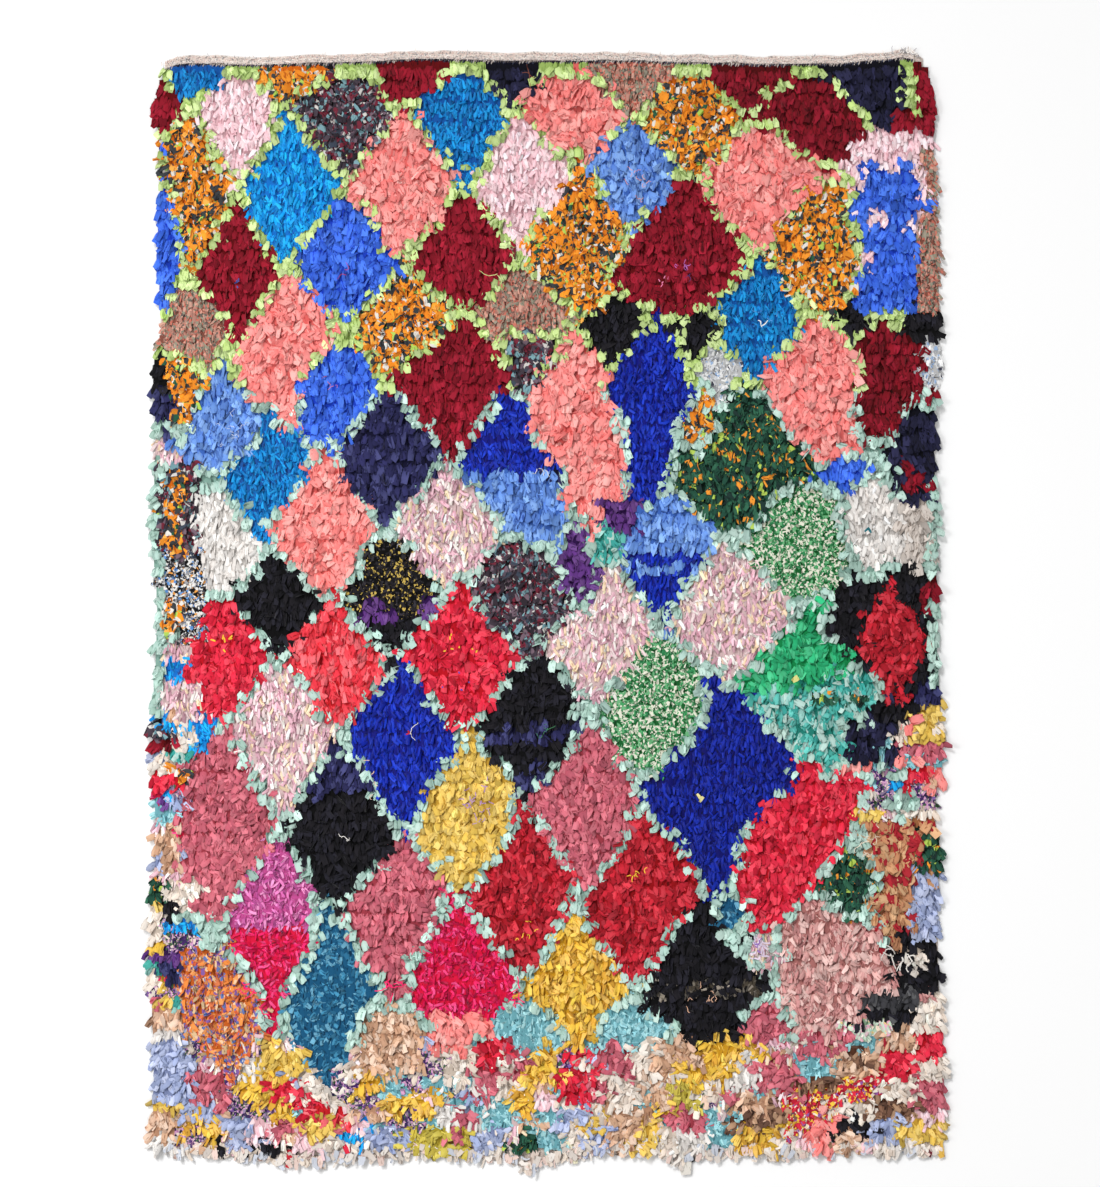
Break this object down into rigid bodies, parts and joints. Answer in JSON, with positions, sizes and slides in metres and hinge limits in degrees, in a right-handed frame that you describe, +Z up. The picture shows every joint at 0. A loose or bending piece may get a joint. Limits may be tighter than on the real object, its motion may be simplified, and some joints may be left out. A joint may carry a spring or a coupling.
{
  "type": "boucherouite rug",
  "caption": "Flat rectangular rag-pile rug, a woven ground with shaggy tied strips in a lozenge pattern, bare woven band at one end and a ragged other end.",
  "frame": {"origin": "middle of the rug's outline on the floor plane that the underside rests on", "axes": "+Z up out of the pile, +Y along the length towards the flat-woven end, X across the width"},
  "size_m": [1.4902, 2.0744, 0.0257],
  "materials": {
    "rag_pile": "shaggy tied strips of cotton jersey and synthetic rags in many colours"
  },
  "bodies": {
    "root": {"rug": "rag_pile"}
  },
  "joints": []
}
